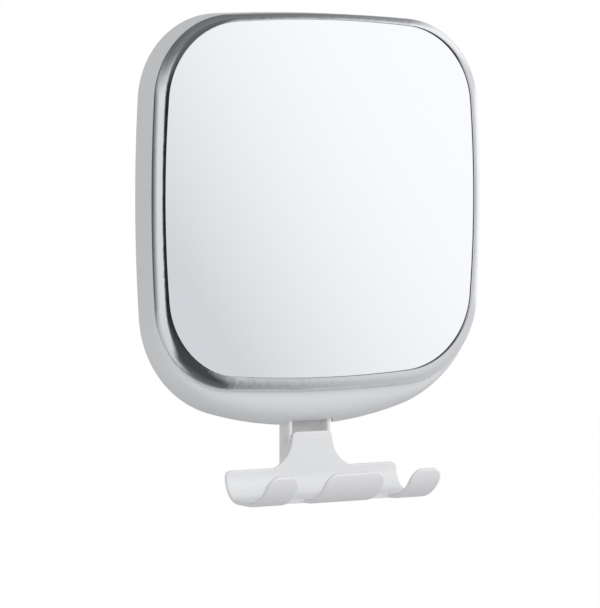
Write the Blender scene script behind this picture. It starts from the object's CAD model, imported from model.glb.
from math import cos, pi, radians, sin

import bmesh
import bpy
from mathutils import Matrix, Vector


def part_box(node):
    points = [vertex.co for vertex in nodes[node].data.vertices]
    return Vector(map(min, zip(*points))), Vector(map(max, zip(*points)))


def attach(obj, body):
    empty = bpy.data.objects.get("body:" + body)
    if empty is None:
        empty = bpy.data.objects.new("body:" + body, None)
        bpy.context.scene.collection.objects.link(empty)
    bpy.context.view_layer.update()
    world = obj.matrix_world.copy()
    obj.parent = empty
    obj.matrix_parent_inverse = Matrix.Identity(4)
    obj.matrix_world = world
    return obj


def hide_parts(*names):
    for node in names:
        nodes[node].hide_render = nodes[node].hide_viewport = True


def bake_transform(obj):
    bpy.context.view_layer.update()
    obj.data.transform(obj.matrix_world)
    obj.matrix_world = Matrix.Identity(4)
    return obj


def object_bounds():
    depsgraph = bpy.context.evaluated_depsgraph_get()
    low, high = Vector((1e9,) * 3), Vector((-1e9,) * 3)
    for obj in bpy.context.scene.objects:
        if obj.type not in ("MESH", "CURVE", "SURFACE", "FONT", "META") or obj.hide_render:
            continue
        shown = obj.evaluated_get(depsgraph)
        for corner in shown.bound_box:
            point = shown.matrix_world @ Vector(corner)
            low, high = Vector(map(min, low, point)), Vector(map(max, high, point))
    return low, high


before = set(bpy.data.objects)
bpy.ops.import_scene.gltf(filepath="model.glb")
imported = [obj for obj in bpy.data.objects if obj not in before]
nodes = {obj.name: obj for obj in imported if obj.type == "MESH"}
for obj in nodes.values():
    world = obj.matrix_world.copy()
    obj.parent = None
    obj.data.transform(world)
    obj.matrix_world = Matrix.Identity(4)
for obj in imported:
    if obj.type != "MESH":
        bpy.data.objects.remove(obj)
cad_low, cad_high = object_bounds()
mm = 0.001

# Suction cup: a soft disc with a thin lip, ringed on its back, with a boss that holds the stud.
# Moulded in one with its pull tab, in a clear grey vinyl that clouds with age. It sits in the
# dish of the bracket and is pressed flat as the stud moves towards the wall.
cup_low, cup_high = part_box("suction_cup")
cup_radius = cup_high.x
boss_height = -cup_low.y
cup_sides = 96
cup_dish_depth = 0.6 * mm
lip_width = 1.4 * mm
rim_height = 1.5 * mm
rim_land_radius = 36 * mm
shoulder_radius = 20 * mm
shoulder_height = 5 * mm
ring_count = 5
ring_depth = 0.3 * mm
boss_radius = 11 * mm
web_height = 6.5 * mm
throat_radius = 6.6 * mm
pocket_radius = 8.2 * mm
pocket_floor = 4.7 * mm
pocket_roof = 6.6 * mm
soft_edge = 0.4 * mm
tab_width = 14 * mm
tab_round = 5.6 * mm
tab_foot = 36 * mm
tab_lift = 0.2 * mm
tab_thickness = 0.9 * mm
grip_radius = 0.5 * mm
grip_length = 8 * mm
grip_spacing = 2.2 * mm
grip_count = 3


class Value:
    """A shader socket that takes part in sums as a number does."""

    def __init__(self, finish, socket):
        self.finish, self.socket = finish, socket

    def sum(self, operation, first, second):
        return self.finish.node("ShaderNodeMath", {"operation": operation}, {0: first, 1: second})

    def __add__(self, other):
        return self.sum("ADD", self, other)

    def __sub__(self, other):
        return self.sum("SUBTRACT", self, other)

    def __rsub__(self, other):
        return self.sum("SUBTRACT", other, self)

    def __mul__(self, other):
        return self.sum("MULTIPLY", self, other)

    __radd__ = __add__
    __rmul__ = __mul__

    def slope(self, zero, one):
        """Share that rises smoothly from 0 to 1 as the value goes from one number to the other."""
        settings = {"interpolation_type": "SMOOTHSTEP"}
        return self.finish.node("ShaderNodeMapRange", settings, {0: self, 1: zero, 2: one})


class Finish:
    """The node tree of a material, or of the studio around the object."""

    def __init__(self, owner, **constants):
        owner.use_nodes = True
        self.owner, self.tree = owner, owner.node_tree
        self.shader = self.tree.nodes.get("Principled BSDF")
        for socket, value in constants.items():
            self.shader.inputs[socket.replace("_", " ")].default_value = value

    def node(self, kind, settings=None, inputs=None, output=0):
        made = self.tree.nodes.new(kind)
        for setting, value in (settings or {}).items():
            setattr(made, setting, value)
        for socket, value in (inputs or {}).items():
            self.join(value, made.inputs[socket])
        return Value(self, made.outputs[output])

    def join(self, value, socket):
        if isinstance(value, Value):
            self.tree.links.new(value.socket, socket)
        else:
            socket.default_value = value

    def feed(self, **sockets):
        for socket, value in sockets.items():
            self.join(value, self.shader.inputs[socket.replace("_", " ")])
        return self.owner

    def axes(self):
        """The three coordinates of a point on the piece, in metres."""
        place = self.node("ShaderNodeTexCoord", output="Object")
        return [self.node("ShaderNodeSeparateXYZ", {}, {0: place}, axis) for axis in range(3)]

    def noise(self, scale, detail=3.0, stretch=(1, 1, 1)):
        """Noise whose grain is about one over the scale in metres, centred on zero."""
        place = self.node("ShaderNodeTexCoord", output="Object")
        drawn = self.node("ShaderNodeMapping", {}, {0: place, 3: stretch})
        inputs = {"Vector": drawn, "Scale": scale, "Detail": detail, "Roughness": 0.5}
        return self.node("ShaderNodeTexNoise", {"noise_dimensions": "3D"}, inputs) - 0.5

    def mix(self, share, first, second):
        """Colour between the first and the second by a share from 0 to 1."""
        settings = {"data_type": "RGBA", "clamp_factor": True}
        return self.node("ShaderNodeMix", settings, {0: share, 6: first, 7: second}, 2)

    def between(self, share, first, second):
        """Number between the first and the second by a share from 0 to 1."""
        settings = {"data_type": "FLOAT", "clamp_factor": True}
        return self.node("ShaderNodeMix", settings, {0: share, 2: first, 3: second})

    def bump(self, height, depth):
        """Normal for a relief: the height runs over about one, the depth is in metres."""
        inputs = {"Height": height, "Distance": depth, "Strength": 1.0}
        return self.node("ShaderNodeBump", {}, inputs)


def coloured(red, green, blue):
    return (red, green, blue, 1)


def soft_rubber(name, colour, bloom, roughness, bloom_share):
    """Moulded rubber or vinyl: a dry bloom in soft patches and the fine grain of its mould."""
    finish = Finish(bpy.data.materials.new(name), Specular_IOR_Level=0.4)
    patches = finish.noise(70, 4.0) + 0.5
    grain = finish.noise(1400, 2.0)
    return finish.feed(
        Base_Color=finish.mix(patches.slope(0.35, 0.75) * bloom_share, colour, bloom),
        Roughness=patches * 0.14 + grain * 0.06 + roughness,
        Normal=finish.bump(grain, 0.03 * mm),
    )


def edit(piece, pick="VERT"):
    """Opens the active piece for shaping, with all of it selected."""
    bpy.ops.object.mode_set(mode="EDIT")
    bpy.ops.mesh.select_mode(type=pick)
    bpy.ops.mesh.select_all(action="SELECT")
    return bmesh.from_edit_mesh(piece.data)


def select(piece, kind, wanted):
    """Selects only the faces or edges of a piece under edit whose middle passes the test."""
    bpy.ops.mesh.select_all(action="DESELECT")
    shape = bmesh.from_edit_mesh(piece.data)
    for item in getattr(shape, kind):
        middle = sum((point.co for point in item.verts), Vector()) / len(item.verts)
        item.select_set(wanted(middle))
    bmesh.update_edit_mesh(piece.data)


def settle(piece, name, crease=40):
    """Closes a piece: outward faces, its place in its mesh, its name and smooth shading."""
    edit(piece)
    bpy.ops.mesh.remove_doubles(threshold=0.001 * mm)
    bpy.ops.mesh.normals_make_consistent(inside=False)
    bpy.ops.object.mode_set(mode="OBJECT")
    bpy.ops.object.transform_apply(location=True, rotation=True, scale=True)
    bpy.ops.object.shade_smooth_by_angle(angle=radians(crease))
    piece.name = piece.data.name = name
    return piece


def work(piece, kind, **settings):
    """Adds a modifier to the active piece and applies it."""
    step = piece.modifiers.new(kind.lower(), kind)
    for setting, value in settings.items():
        setattr(step, setting, value)
    bpy.ops.object.modifier_apply(modifier=step.name)


def turn_piece(sides, rings, centre=(0, 0)):
    """A round piece drawn out ring by ring, each a radius and a distance off the wall."""
    x, z = centre
    radius, off_wall = rings[0]
    bpy.ops.object.select_all(action="DESELECT")
    bpy.ops.mesh.primitive_circle_add(
        vertices=sides,
        radius=radius,
        fill_type="NGON",
        location=(x, -off_wall, z),
        rotation=(pi / 2, 0, 0),
    )
    piece = bpy.context.object
    edit(piece)
    for next_radius, next_off_wall in rings[1:]:
        step = (0, off_wall - next_off_wall, 0)
        bpy.ops.mesh.extrude_region_move(TRANSFORM_OT_translate={"value": step})
        grow = next_radius / radius
        bpy.ops.transform.resize(value=(grow, 1, grow), center_override=(x, -next_off_wall, z))
        radius, off_wall = next_radius, next_off_wall
    bpy.ops.object.mode_set(mode="OBJECT")
    return piece


def add_block(size, middle):
    """A block of a size about its middle, ready for shaping."""
    bpy.ops.object.select_all(action="DESELECT")
    bpy.ops.mesh.primitive_cube_add(size=1, location=middle, scale=size)
    bpy.ops.object.transform_apply(location=True, rotation=True, scale=True)
    return bpy.context.object


def cut_or_join(piece, tool, operation):
    """Takes a tool shape out of a piece, or melts it into the piece, and removes the tool."""
    bpy.ops.object.select_all(action="DESELECT")
    piece.select_set(True)
    bpy.context.view_layer.objects.active = piece
    work(piece, "BOOLEAN", object=tool, operation=operation, solver="EXACT")
    bpy.data.objects.remove(tool)


def fit(piece, material, replaced):
    """Gives a finished piece its material and slot, and puts it in a CAD node's stead."""
    piece.data.materials.clear()
    piece.data.materials.append(material)
    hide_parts(replaced)


def cup_rings():
    """From the middle of the wall face out to the lip, back over the rings and into the pocket."""
    lip_start = cup_radius - 2 * lip_width
    yield 0.1 * cup_radius, cup_dish_depth
    yield 0.5 * cup_radius, 0.8 * cup_dish_depth
    yield 0.8 * lip_start, 0.5 * cup_dish_depth
    yield lip_start, 0.3 * cup_dish_depth
    yield lip_start + soft_edge, 0
    yield cup_radius - soft_edge, 0
    yield cup_radius, soft_edge
    yield cup_radius, rim_height - soft_edge
    yield cup_radius - soft_edge, rim_height
    yield rim_land_radius, rim_height
    run = (rim_land_radius - shoulder_radius) / ring_count
    rise = (shoulder_height - rim_height) / ring_count
    for ring in range(ring_count):
        start = rim_land_radius - run * ring
        level = rim_height + rise * ring
        yield start - 0.15 * run, level + 0.1 * rise
        yield start - 0.55 * run, level + 0.5 * rise - ring_depth
        yield start - 0.9 * run, level + 0.95 * rise - ring_depth
        yield start - run, level + rise
    yield boss_radius + soft_edge, web_height
    yield boss_radius, web_height + soft_edge
    yield boss_radius, boss_height - soft_edge
    yield boss_radius - soft_edge, boss_height
    yield throat_radius + soft_edge, boss_height
    yield throat_radius, boss_height - soft_edge
    yield throat_radius, pocket_roof
    yield pocket_radius, pocket_roof
    yield pocket_radius, pocket_floor
    yield 0.1 * pocket_radius, pocket_floor


tab_length = cup_high.z - tab_foot
tab_middle = Vector((0, -tab_lift - tab_thickness / 2, tab_foot + tab_length / 2))
pull_tab = add_block((tab_width, tab_thickness, tab_length), tab_middle)
edit(pull_tab, "EDGE")
select(pull_tab, "edges", lambda at: at.z > cup_high.z - soft_edge and abs(at.x) > tab_round)
bpy.ops.mesh.bevel(offset=tab_round, segments=10, affect="EDGES")
bpy.ops.object.mode_set(mode="OBJECT")
for grip in range(grip_count):
    bpy.ops.mesh.primitive_cylinder_add(
        vertices=24,
        radius=grip_radius,
        depth=grip_length,
        location=(0, -tab_lift - tab_thickness, cup_high.z - tab_round / 2 - grip * grip_spacing),
        rotation=(0, pi / 2, 0),
    )
    ridge = bpy.context.object
    edit(ridge, "EDGE")
    select(ridge, "edges", lambda at: abs(at.z) > grip_length / 2 - soft_edge)
    bpy.ops.mesh.bevel(offset=grip_radius / 2, segments=3, affect="EDGES")
    bpy.ops.object.mode_set(mode="OBJECT")
    cut_or_join(pull_tab, ridge, "UNION")
suction_cup = turn_piece(cup_sides, list(cup_rings()))
cut_or_join(suction_cup, pull_tab, "UNION")
settle(suction_cup, "moulded_cup")
cup_vinyl = soft_rubber(
    "cup_vinyl", coloured(0.46, 0.48, 0.50), coloured(0.60, 0.62, 0.63), 0.34, 0.5
)
fit(suction_cup, cup_vinyl, "suction_cup")
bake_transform(suction_cup)

# Wall bracket: dish over the cup, hub for the dial and the channel neck below the head.
# One moulding in satin white plastic that lets a little light through its walls. The inside of
# the channel is tinted lighter than the rest, to stand for more of that light.
channel_half_width = 10.8 * mm
channel_floor = -3.8 * mm
channel_top = -52 * mm
tint_edge = 0.5 * mm


def moulded(name, colour, shade, roughness, grain_scale, grain_depth, **constants):
    """A moulded plastic: faint clouding, uneven gloss and the eroded grain of its mould."""
    finish = Finish(bpy.data.materials.new(name), **constants)
    cloud = finish.noise(18, 2.0) + finish.noise(140, 2.0) * 0.4 + 0.5
    grain = finish.noise(grain_scale, 2.0)
    return finish.feed(
        Base_Color=finish.mix(cloud, shade, colour),
        Roughness=finish.noise(60, 3.0) * 0.12 + grain * 0.05 + roughness,
        Normal=finish.bump(grain, grain_depth),
    )


def tint(finish, share, colour):
    """Draws a colour over the one that a finish has, where the share is above 0."""
    ground = Value(finish, finish.shader.inputs["Base Color"].links[0].from_socket)
    finish.feed(Base_Color=finish.mix(share, ground, colour))


def dress(material, *names):
    """Puts a material on every slot of CAD nodes."""
    for name in names:
        for place in nodes[name].material_slots:
            place.material = material


bracket_plastic = moulded(
    "bracket_satin_white",
    coloured(0.82, 0.823, 0.828),
    coloured(0.785, 0.79, 0.797),
    0.40,
    2600,
    0.02 * mm,
    Subsurface_Weight=0.8,
    Subsurface_Radius=(1.0, 1.0, 1.0),
    Subsurface_Scale=4 * mm,
)
bracket = Finish(bracket_plastic)
across, depth, height = bracket.axes()
beside = across.sum("ABSOLUTE", across, 0).slope(channel_half_width + tint_edge, channel_half_width)
before = depth.slope(channel_floor + tint_edge, channel_floor)
below = height.slope(channel_top + 2 * tint_edge, channel_top - 2 * tint_edge)
tint(bracket, beside * before * below, coloured(0.96, 0.96, 0.965))
dress(bracket_plastic, "wall_bracket")

# Steel: the cup's stud, the two headed studs that carry the head and the two tray pins.
# Turned from stainless bar, so fine rings from the tool run round every face.


def turned_metal(name, colour, worn, roughness, ring_scale):
    """Metal from a lathe: fine rings, a soft change of tone and gloss, and no grain of its own."""
    finish = Finish(bpy.data.materials.new(name), Metallic=1.0)
    rings = finish.noise(ring_scale, 2.0, (0.15, 4.0, 0.15))
    tone = finish.noise(220, 3.0) + 0.5
    return finish.feed(
        Base_Color=finish.mix(tone, worn, colour),
        Roughness=finish.noise(300, 2.0) * 0.2 + rings * 0.1 + roughness,
        Normal=finish.bump(rings, 0.01 * mm),
    )


stainless = turned_metal(
    "turned_stainless", coloured(0.62, 0.625, 0.635), coloured(0.56, 0.565, 0.575), 0.28, 900
)
dress(stainless, "cup_stud", "hanger_studs", "tray_pins")

# Lock dial with its washer, nut and cap: the fluted dial draws the stud out of the cup.
# Dial in grained dark plastic, and the hanger plate on the head in the same. Washer in natural
# acetal, nut pressed in from brass, cap glossy.
dial_plastic = moulded(
    "dial_plastic", coloured(0.30, 0.31, 0.33), coloured(0.26, 0.27, 0.29), 0.45, 2200, 0.03 * mm
)
dress(dial_plastic, "lock_dial", "hanger_plate")
acetal = moulded(
    "natural_acetal", coloured(0.80, 0.79, 0.73), coloured(0.76, 0.75, 0.69), 0.34, 1800, 0.01 * mm
)
dress(acetal, "thrust_washer")
brass = turned_metal(
    "machined_brass", coloured(0.72, 0.54, 0.25), coloured(0.62, 0.45, 0.20), 0.30, 1200
)
dress(brass, "dial_nut")
cap_plastic = moulded(
    "cap_gloss_grey", coloured(0.62, 0.63, 0.64), coloured(0.58, 0.59, 0.60), 0.22, 2200, 0.01 * mm
)
dress(cap_plastic, "dial_cap")

# Rear housing and the ribbed carrier: the shell with the bulging chin, and the plate in it.
# Both moulded in satin light grey plastic. The carrier holds the glass and takes all screws. The
# joint with the bezel is tinted dark above the chin, to stand for the shadow in a deeper gap.
housing_front = -23.1 * mm
housing_shadow_reach = 0.5 * mm
shadow_start, shadow_full = -80 * mm, -40 * mm
housing_plastic = moulded(
    "housing_satin_grey",
    coloured(0.74, 0.75, 0.755),
    coloured(0.70, 0.71, 0.72),
    0.42,
    2600,
    0.02 * mm,
)
shell = Finish(housing_plastic)
depth, height = shell.axes()[1:]
joint_shadow = depth.slope(housing_front + housing_shadow_reach, housing_front)
joint_shadow = joint_shadow * height.slope(shadow_start, shadow_full)
tint(shell, joint_shadow, coloured(0.25, 0.255, 0.26))
dress(housing_plastic, "rear_housing", "mirror_carrier")

# Rubber feet: four plugs that keep the housing off the tiles, pushed into its bosses.
# Turned down to a groove at the waist, with a barb on the stem and a dimple that grips.
feet_low, feet_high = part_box("wall_bumpers")
foot_radius = 4.5 * mm
foot_stem_radius = 2.2 * mm
foot_shoulder = 6.5 * mm
foot_tread = 0.35 * mm
groove_depth = 0.3 * mm
barb_rise = 1.6 * mm
foot_sides = 40
foot_tip, foot_end = -feet_high.y, -feet_low.y


def foot_rings():
    """From the dimple in the foot's face, over the tread and the groove, to the barbed stem."""
    waist = (foot_tip + foot_shoulder) / 2
    yield 0.2 * foot_radius, foot_tip + 1.5 * foot_tread
    yield 0.5 * foot_radius, foot_tip + foot_tread
    yield 0.6 * foot_radius, foot_tip
    yield 0.82 * foot_radius, foot_tip
    yield 0.95 * foot_radius, foot_tip + foot_tread
    yield foot_radius, foot_tip + 2.5 * foot_tread
    yield foot_radius, waist - 2 * groove_depth
    yield foot_radius - groove_depth, waist - groove_depth
    yield foot_radius - groove_depth, waist + groove_depth
    yield foot_radius, waist + 2 * groove_depth
    yield foot_radius, foot_shoulder - groove_depth
    yield foot_radius - groove_depth, foot_shoulder
    yield 0.8 * foot_stem_radius, foot_shoulder
    yield 0.8 * foot_stem_radius, foot_end - barb_rise
    yield foot_stem_radius, foot_end - 0.8 * barb_rise
    yield 0.6 * foot_stem_radius, foot_end
    yield 0.3 * foot_stem_radius, foot_end


def copies(first, name, moves):
    """Copies a finished piece by moves from its place, each copy with its own mesh."""
    pieces = [first]
    for number, move in enumerate(moves, 2):
        bpy.ops.object.select_all(action="DESELECT")
        first.select_set(True)
        bpy.context.view_layer.objects.active = first
        bpy.ops.object.duplicate(linked=False)
        bpy.ops.transform.translate(value=move)
        bpy.ops.object.transform_apply(location=True, rotation=True, scale=True)
        copy = bpy.context.object
        copy.name = copy.data.name = f"{name}_{number}"
        pieces.append(copy)
    return pieces


foot_column, foot_row = feet_high.x - foot_radius, feet_high.z - foot_radius
foot = turn_piece(foot_sides, list(foot_rings()), (-foot_column, -foot_row))
settle(foot, "rubber_foot_1")
foot_moves = [(2 * foot_column, 0, 0), (0, 0, 2 * foot_row), (2 * foot_column, 0, 2 * foot_row)]
black_rubber = soft_rubber(
    "black_rubber", coloured(0.035, 0.035, 0.037), coloured(0.09, 0.09, 0.092), 0.50, 0.35
)
for piece in copies(foot, "rubber_foot", foot_moves):
    fit(piece, black_rubber, "wall_bumpers")
    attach(piece, "mirror_head")

# Screws: eight pull the carrier on to the housing's deck, four hold the hanger plate on it.
# Pan heads in stainless with a cross recess, and a coarse thread for plastic.
screw_sides = 32
screw_thread_pitch = 0.7 * mm
screw_thread_depth = 0.25 * mm
screw_tip_length = 1.0 * mm
cross_width = 0.65 * mm
cross_depth = 1.1 * mm


def screw_rings(head_radius, head_height, shank_radius, top, end):
    """From the top of the pan head down over the dome to the ridges of the thread and the tip."""
    yield 0.3 * head_radius, top
    yield 0.6 * head_radius, top + 0.04 * head_height
    yield 0.85 * head_radius, top + 0.2 * head_height
    yield 0.97 * head_radius, top + 0.45 * head_height
    yield head_radius, top + 0.7 * head_height
    yield head_radius, top + head_height
    level = top + head_height
    yield shank_radius - screw_thread_depth, level
    while level + screw_thread_pitch < end - screw_tip_length:
        yield shank_radius - screw_thread_depth, level + 0.5 * screw_thread_pitch
        yield shank_radius, level + 0.75 * screw_thread_pitch
        level += screw_thread_pitch
        yield shank_radius - screw_thread_depth, level
    yield shank_radius - screw_thread_depth, end - screw_tip_length
    yield 0.2 * shank_radius, end


def cross_screw(name, centre, *form):
    """One screw at a place, with its cross sunk in the head."""
    x, z = centre
    head_radius, top = form[0], form[3]
    screw = turn_piece(screw_sides, list(screw_rings(*form)), centre)
    for across in (0, 1):
        size = [cross_width, 2 * cross_depth, 1.3 * head_radius]
        if across:
            size.reverse()
        tool = add_block(size, (x, -top, z))
        cut_or_join(screw, tool, "DIFFERENCE")
    return settle(screw, name)


def group_of_screws(name, group, places, head_radius, head_height, shank_radius):
    """The screws of one CAD group, copied from the first to the places that it has."""
    low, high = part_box(group)
    form = (head_radius, head_height, shank_radius, -high.y, -low.y)
    first = cross_screw(f"{name}_1", places[0], *form)
    start_x, start_z = places[0]
    moves = [(x - start_x, 0, z - start_z) for x, z in places[1:]]
    for screw in copies(first, name, moves):
        fit(screw, stainless, group)
        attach(screw, "mirror_head")


screw_head_height = 2.0 * mm
deck_screw_head = 2.8 * mm
deck_screw_shank = 1.4 * mm
deck_half_spacing = 40 * mm
screws_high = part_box("carrier_screws")[1]
side_column, end_row = screws_high.x - deck_screw_head, screws_high.z - deck_screw_head
spaced = (-deck_half_spacing, deck_half_spacing)
deck_places = [(x, z) for x in (-side_column, side_column) for z in spaced]
deck_places += [(x, z) for z in (-end_row, end_row) for x in spaced]
deck_form = (deck_screw_head, screw_head_height, deck_screw_shank)
group_of_screws("deck_screw", "carrier_screws", deck_places, *deck_form)
plate_screw_head = 3.0 * mm
plate_screw_shank = 1.5 * mm
plate_inner_spacing = 26 * mm
plate_low, plate_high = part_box("hanger_screws")
plate_row = (plate_low.z + plate_high.z) / 2
plate_column = plate_high.x - plate_screw_head
plate_places = [
    (x, plate_row)
    for x in (-plate_column, -plate_inner_spacing / 2, plate_inner_spacing / 2, plate_column)
]
plate_form = (plate_screw_head, screw_head_height, plate_screw_shank)
group_of_screws("plate_screw", "hanger_screws", plate_places, *plate_form)

# Foam pad: a die-cut sheet of closed-cell foam that bonds the glass to the carrier.
# Its cut edge draws in a little, and its faces show the cells.


def copy_of_node(name):
    """A copy of a CAD node's mesh with its loose triangles merged, ready for shaping."""
    bpy.ops.object.select_all(action="DESELECT")
    copy = nodes[name].copy()
    copy.data = nodes[name].data.copy()
    copy.parent = None
    bpy.context.scene.collection.objects.link(copy)
    copy.matrix_world = Matrix.Identity(4)
    copy.select_set(True)
    bpy.context.view_layer.objects.active = copy
    edit(copy)
    bpy.ops.mesh.customdata_custom_splitnormals_clear()
    bpy.ops.mesh.remove_doubles(threshold=0.001 * mm)
    bpy.ops.mesh.dissolve_limited(angle_limit=radians(1))
    bpy.ops.object.mode_set(mode="OBJECT")
    return copy


pad_edge = 0.3 * mm
foam_pad = copy_of_node("backing_pad")
sharp = radians(50)
work(foam_pad, "BEVEL", width=pad_edge, segments=3, limit_method="ANGLE", angle_limit=sharp)
settle(foam_pad, "foam_pad")
foam = Finish(bpy.data.materials.new("closed_cell_foam"), Specular_IOR_Level=0.2)
cell_place = foam.node("ShaderNodeTexCoord", output="Object")
cells = foam.node("ShaderNodeTexVoronoi", {"feature": "F1"}, {"Vector": cell_place, "Scale": 1600})
foam.feed(
    Base_Color=foam.mix(cells, coloured(0.74, 0.74, 0.72), coloured(0.56, 0.56, 0.54)),
    Roughness=foam.noise(200) * 0.1 + 0.85,
    Normal=foam.bump(cells * -1, 0.1 * mm),
)
fit(foam_pad, foam.owner, "backing_pad")
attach(foam_pad, "mirror_head")

# Mirror glass: a float glass plate with a ground edge, silvered behind and coated against fog.
# The seal is a soft black ring of L section over its front edge.
silvering = Finish(bpy.data.materials.new("silvered_glass"), Metallic=1.0)
silvering.feed(
    Base_Color=silvering.mix(
        silvering.noise(9, 2.0) + 0.5, coloured(0.955, 0.96, 0.965), coloured(0.96, 0.965, 0.97)
    ),
    Roughness=silvering.noise(12, 2.0) * 0.01 + 0.02,
)
dress(silvering.owner, "mirror_glass")
seal_edge = 0.12 * mm
glass_seal = copy_of_node("glass_gasket")
work(glass_seal, "BEVEL", width=seal_edge, segments=2, limit_method="ANGLE", angle_limit=sharp)
settle(glass_seal, "glass_seal")
fit(glass_seal, black_rubber, "glass_gasket")
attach(glass_seal, "mirror_head")

# Chromed bezel: a convex ring over the edge of the glass, snapped into the housing's front.
# Plated plastic with a satin bloom, so its reflections are soft at the edges. Its back edge is
# tinted dark above the chin, as the housing's front is.
bezel_back = -23.6 * mm
bezel_shadow_reach = 0.9 * mm
chrome = Finish(bpy.data.materials.new("satin_chrome"), Metallic=1.0)
chrome.feed(
    Base_Color=chrome.mix(
        chrome.noise(40, 2.0) + 0.5, coloured(0.85, 0.855, 0.865), coloured(0.87, 0.875, 0.885)
    ),
    Roughness=chrome.noise(700, 3.0) * 0.03 + 0.10,
)
depth, height = chrome.axes()[1:]
back_shadow = depth.slope(bezel_back - bezel_shadow_reach, bezel_back)
tint(chrome, back_shadow * height.slope(shadow_start, shadow_full), coloured(0.2, 0.2, 0.205))
dress(chrome.owner, "chrome_bezel")

# Razor tray: bell-shaped tongue, trough and slotted lip, hung on the neck's two pins.
# One moulding in semi-gloss white plastic. It is kept out of the reflections in glass and bezel.
tray_plastic = moulded(
    "tray_gloss_white",
    coloured(0.78, 0.785, 0.79),
    coloured(0.75, 0.755, 0.765),
    0.30,
    1500,
    0.01 * mm,
)
dress(tray_plastic, "razor_tray")
nodes["razor_tray"].visible_glossy = False

# Studio: a pale floor below the object, two soft lamps and a room that is white to the camera.
# Glass and chrome see its walls: white to the right, pale to the left, dark between and above.
# Their levels and edges were fitted to the photographed reflections, so they suit this camera.
floor_height = -0.62
floor_radius = 6.0
floor_glow = 1.09
floor_glow_share = 0.85
bpy.ops.object.select_all(action="DESELECT")
bpy.ops.mesh.primitive_circle_add(
    vertices=96, radius=floor_radius, fill_type="NGON", location=(0, 0, floor_height)
)
floor = bpy.context.object
floor.name = "floor"
floor.visible_glossy = False
floor_grey = coloured(0.75, 0.75, 0.75)
pale = Finish(bpy.data.materials.new("floor_pale"), Roughness=0.8, Base_Color=floor_grey)
sight = pale.node("ShaderNodeLightPath", output="Is Camera Ray")
glow = pale.node("ShaderNodeEmission", {}, {"Color": coloured(1, 1, 1), "Strength": floor_glow})
surface = Value(pale, pale.shader.outputs[0])
shown = pale.node("ShaderNodeMixShader", {}, {0: sight * floor_glow_share, 1: surface, 2: glow})
pale.join(shown, pale.tree.nodes["Material Output"].inputs["Surface"])
floor.data.materials.append(pale.owner)

studio = Finish(bpy.data.worlds.new("studio"))
bpy.context.scene.world = studio.owner
ray = studio.node("ShaderNodeTexCoord", output="Generated")
side, ahead, up = (studio.node("ShaderNodeSeparateXYZ", {}, {0: ray}, axis) for axis in range(3))
steep = up.sum("ABSOLUTE", up, 0)
high = up.slope(0.08, 0.78)

ceiling_level = 0.126
ceiling = ahead.slope(-0.96, -0.38) * 0.077 - ahead.slope(-0.3, 0.5) * 0.03 + ceiling_level

gap_level = 0.02
gap_below = up.slope(-0.08, -0.3) * 0.04 + up.slope(-0.6, -0.95) * 0.05 + gap_level
dark_gap = gap_below + up.slope(0.05, 0.25) * 0.10 + ahead.slope(-0.2, 0.4) * 0.09
dark_gap = studio.between(up.slope(0.3, 0.6), dark_gap, ceiling)

left_level = 0.73
left_end_level = 0.035
left_wall = studio.between(high, up.slope(-0.65, 0.15) * 0.07 + left_level, ceiling)
left_end = ahead.slope(-0.3, 0.8) * studio.between(steep.slope(-0.15, 0.5), 1.0, 0.27)
left_wall = studio.between(left_end, left_wall, left_end_level)
low_edge = studio.between(up.slope(0, -0.1), 0.5, up * 0.616 - side * 0.775).slope(-0.2, 0.04)
seen = studio.between(side.slope(0.01, -0.35) * low_edge, dark_gap, left_wall)

skirting_level = 0.76
skirting = ahead.slope(-0.45, 0.66) * up.slope(-0.6, -0.8) * side.slope(-0.1, -0.48)
seen = studio.between(skirting, seen, skirting_level)

right_level = 0.68
right_end_level = 1.083
near_edge_level = 0.53
right_wall = up.slope(-0.6, -0.25) * 0.07 + up.slope(0.15, 0.35) * 0.267 + right_level
right_end = ahead.slope(-0.68, -0.13) * steep.slope(0.16, 0.04)
right_wall = studio.between(right_end, right_wall, right_end_level)
near_edge = studio.between(up.slope(0.05, -0.1), ahead.slope(0, 0.6), ahead.slope(-0.95, -0.28))
near_edge = side.slope(1.18, 0.23) * near_edge
right_wall = studio.between(near_edge, right_wall, near_edge_level)
low = up.slope(-0.1, -0.5)
right_start = studio.between(high, studio.between(low, 0.36, 0.30), 0.41)
right_reach = studio.between(high, studio.between(low, 0.48, 0.57), 0.95)
seen = studio.between(side.slope(right_start, right_reach), seen, right_wall)
cool = {0: seen, 1: seen * 1.01 + 0.002, 2: seen * 1.025 + 0.007}
seen = studio.node("ShaderNodeCombineColor", {}, cool)

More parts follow.
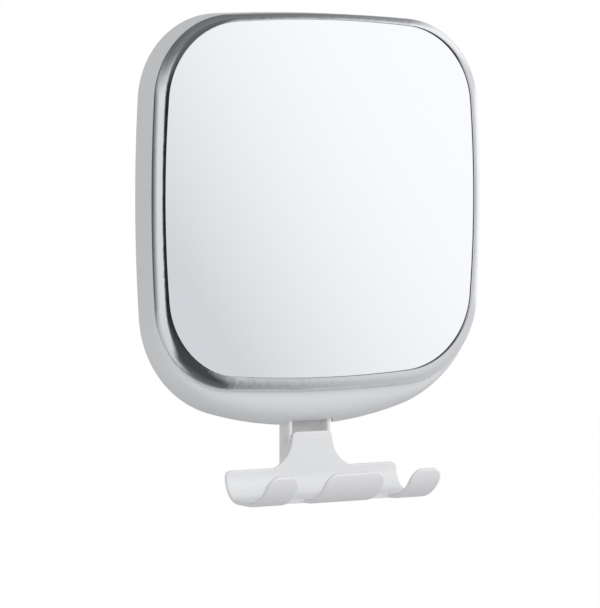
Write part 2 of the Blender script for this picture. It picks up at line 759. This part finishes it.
screen_white, screen_dusk = coloured(0.998, 1.0, 1.012), coloured(0.66, 0.672, 0.70)
dusk = (side * -1 - up * 0.5 + 0.545) * 10
dusk = dusk.sum("MINIMUM", dusk.sum("MAXIMUM", dusk, 0), 1)
screen = studio.mix(dusk * dusk, screen_white, screen_dusk)
level = up + 0.015
level = level.sum("ABSOLUTE", level, 0)
on_screen = side.slope(0.42, 0.45) * side.slope(0.62, 0.56) * level.slope(0.14, 0.08)
seen = studio.mix(on_screen, seen, screen)

room_light = coloured(0.62, 0.62, 0.63)
path = studio.tree.nodes.new("ShaderNodeLightPath")
glossy, clear, camera_ray = (
    Value(studio, path.outputs[kind])
    for kind in ("Is Glossy Ray", "Is Transmission Ray", "Is Camera Ray")
)
lit = studio.mix(glossy + clear, room_light, seen)
lit = studio.mix(camera_ray, lit, coloured(1, 1, 1))
studio.join(lit, studio.tree.nodes["Background"].inputs["Color"])


def soft_box(name, place, aim, width, watts):
    """A square lamp that shines from its place towards the aim."""
    light = bpy.data.lights.new(name, "AREA")
    light.shape, light.size, light.energy = "SQUARE", width, watts
    box = bpy.data.objects.new(name, light)
    bpy.context.scene.collection.objects.link(box)
    direction = Vector(aim) - Vector(place)
    box.matrix_world = Matrix.LocRotScale(Vector(place), direction.to_track_quat("-Z", "Y"), None)
    box.visible_glossy = False


middle = (cad_low + cad_high) / 2
soft_box("key", (0.9, -1.7, 1.1), middle, 1.4, 22)
soft_box("fill", (-1.2, -1.3, 0.2), middle, 1.2, 5)

# Camera: on the left of the object and a little above its middle, with a long lens.
# Its place, aim and lens were fitted to the outlines in the photograph.
camera_place = Vector((-0.84028, -1.46672, 0.02511))
camera_bearing, camera_pitch = radians(29.85), radians(-2.785)
camera = bpy.data.objects.new("camera", bpy.data.cameras.new("camera"))
bpy.context.scene.collection.objects.link(camera)
bpy.context.scene.camera = camera
camera.data.sensor_width = 36.0
camera.data.lens = 185.34
camera.data.clip_start = 0.05
sight_line = Vector(
    (
        sin(camera_bearing) * cos(camera_pitch),
        cos(camera_bearing) * cos(camera_pitch),
        sin(camera_pitch),
    )
)
camera.matrix_world = Matrix.LocRotScale(camera_place, sight_line.to_track_quat("-Z", "Y"), None)

bpy.context.scene.view_settings.view_transform = "Standard"
